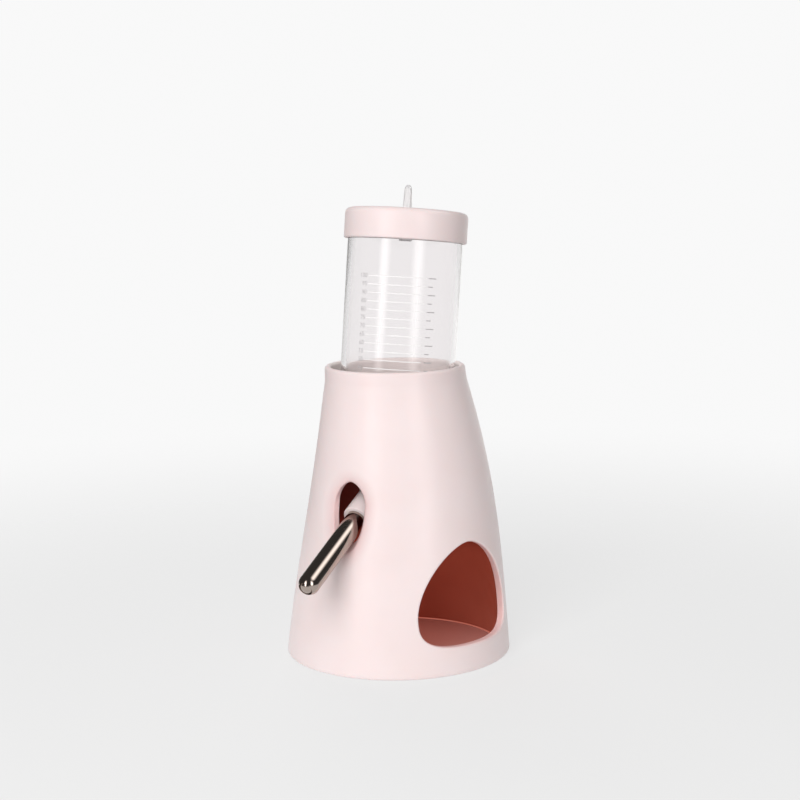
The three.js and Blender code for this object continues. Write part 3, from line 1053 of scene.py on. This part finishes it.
def strip(tree, way, azimuth, elevation, half_width, half_height, brightness):
    """A soft patch of light in the world round one direction, oval and fading to its edge."""
    centre = direction(azimuth, elevation)
    level = direction(azimuth + 90)
    across = level / math.sin(math.radians(half_width))
    along = centre.cross(level) / math.sin(math.radians(half_height))
    offset = tree.nodes.new("ShaderNodeCombineXYZ")
    for k, axis in enumerate((across, along)):
        tree.links.new(measure(tree, "DOT_PRODUCT", way, axis), offset.inputs[k])
    fade = ramp(tree, measure(tree, "LENGTH", offset.outputs[0]), 1, 0.1, brightness)
    ahead = calculate(tree, "GREATER_THAN", measure(tree, "DOT_PRODUCT", way, centre), 0)
    return calculate(tree, "MULTIPLY", fade, ahead)


def make_world():
    """A bright seamless backdrop, which lights the object more gently than it looks, and soft strips of
    light for the glossy pieces to mirror."""
    world = bpy.data.worlds.new("studio")
    bpy.context.scene.world = world
    world.use_nodes = True
    tree = world.node_tree
    tree.nodes.clear()
    path = tree.nodes.new("ShaderNodeLightPath")
    way = tree.nodes.new("ShaderNodeTexCoord").outputs["Generated"]
    mirrored = REFLECTED_BASE
    for patch in REFLECTED:
        mirrored = calculate(tree, "ADD", mirrored, strip(tree, way, *patch))
    lit = background(tree, (1, 0.995, 0.99), FILL)
    glossy = background(tree, (1, 0.99, 0.98), mirrored)
    seen = background(tree, BACKDROP)
    straight = calculate(tree, "MAXIMUM", path.outputs["Is Camera Ray"], path.outputs["Is Transmission Ray"])
    reflected = mix_shaders(tree, path.outputs["Is Glossy Ray"], lit, glossy)
    output = tree.nodes.new("ShaderNodeOutputWorld")
    tree.links.new(mix_shaders(tree, straight, reflected, seen), output.inputs["Surface"])


# The floor: radii and blur in millimetres, the rest of the lengths in metres.
FLOOR = dict(
    half=4.0, drop=0.0001, tone=0.78, glow=0.875, glow_share=0.72, fade_from=0.12, fade_to=0.6,
    under=(0.56, 0.30, 0.27), ring=(0.48, 0.14, 0.10), ring_radius=42.2, stand_radius=44.0, blur=0.3,
)


def plain_shader(tree, kind, colour):
    node = tree.nodes.new(kind)
    node.inputs["Color"].default_value = (*colour, 1)
    return node.outputs[0]


def make_floor():
    """A pale floor that fades into the backdrop far from the object. Inside the stand it is painted a dull red
    for shade and the reddened light that comes through the pink wall, and doesn't glow, but for a ring at the
    wall that glows as a painted line of light."""
    f = FLOOR
    half = f["half"]
    corners = [(-half, -half, 0), (half, -half, 0), (half, half, 0), (-half, half, 0)]
    mesh = bpy.data.meshes.new("floor")
    mesh.from_pydata(corners, [], [(0, 1, 2, 3)])
    floor = bpy.data.objects.new("floor", mesh)
    floor.location.z = -f["drop"]
    bpy.context.scene.collection.objects.link(floor)
    material = bpy.data.materials.new("floor")
    material.use_nodes = True
    tree = material.node_tree
    tree.nodes.clear()
    diffuse = plain_shader(tree, "ShaderNodeBsdfDiffuse", [f["tone"]] * 3)
    glow = plain_shader(tree, "ShaderNodeEmission", [f["glow"]] * 3)
    open_floor = mix_shaders(tree, f["glow_share"], diffuse, glow)
    # a painted line of light, glowing where the stand's wall meets the floor
    ring = plain_shader(tree, "ShaderNodeEmission", f["ring"])
    # painted shade and reddened light on the floor inside the stand
    shaded = plain_shader(tree, "ShaderNodeBsdfDiffuse", f["under"])
    place = piece_coordinates(tree)
    from_stand = measure(tree, "DISTANCE", place, STAND_AXIS * MM)
    for radius, beyond in ((f["ring_radius"], ring), (f["stand_radius"], open_floor)):
        edge = ramp(tree, from_stand, radius * MM, (radius + f["blur"]) * MM)
        shaded = mix_shaders(tree, edge, shaded, beyond)
    fade = ramp(tree, measure(tree, "DISTANCE", place, (0, 0, 0)), f["fade_from"], f["fade_to"])
    clear = tree.nodes.new("ShaderNodeBsdfTransparent")
    output = tree.nodes.new("ShaderNodeOutputMaterial")
    tree.links.new(mix_shaders(tree, fade, shaded, clear.outputs[0]), output.inputs["Surface"])
    mesh.materials.append(material)


# Where the camera stands round the stand's axis, in degrees and metres, how it is turned, and its lens.
CAMERA = dict(azimuth=32, distance=0.640, height=0.1961, yaw=0.176, pitch=8.243, roll=-0.811, lens=71.53)


def make_camera():
    """The camera, round from the spout towards the doorway and looking slightly down."""
    c = CAMERA
    data = bpy.data.cameras.new("camera")
    data.sensor_width = 36
    data.lens = c["lens"]
    camera = bpy.data.objects.new("camera", data)
    azimuth = math.radians(c["azimuth"])
    turn = Matrix.Rotation(azimuth - math.radians(c["yaw"]), 4, "Z")
    tilt = Matrix.Rotation(math.pi / 2 - math.radians(c["pitch"]), 4, "X")
    lean = Matrix.Rotation(math.radians(c["roll"]), 4, "Z")
    reach = Matrix.Rotation(azimuth, 4, "Z") @ Vector((0, -c["distance"], c["height"]))
    camera.matrix_world = Matrix.Translation(STAND_AXIS * MM + reach) @ turn @ tilt @ lean
    bpy.context.scene.collection.objects.link(camera)
    bpy.context.scene.camera = camera


make_camera()
make_stand()
make_bottle()
make_cap()
make_gasket("cap_seal", "top_gasket", "cap_gasket", BOTTLE["top"] + GAP, CAP["top"] - CAP["plate"] - GAP)
make_stopper()
make_nozzle()
make_gasket("nozzle_seal", "nozzle_gasket", "bottle", NOZZLE["plate_top"] + GAP, BOTTLE["bottom"] - GAP)
make_seals()
make_spout()
make_ball()
make_spring()
make_scale()
make_world()
make_floor()
make_lights()
bpy.context.scene.view_settings.view_transform = "Standard"
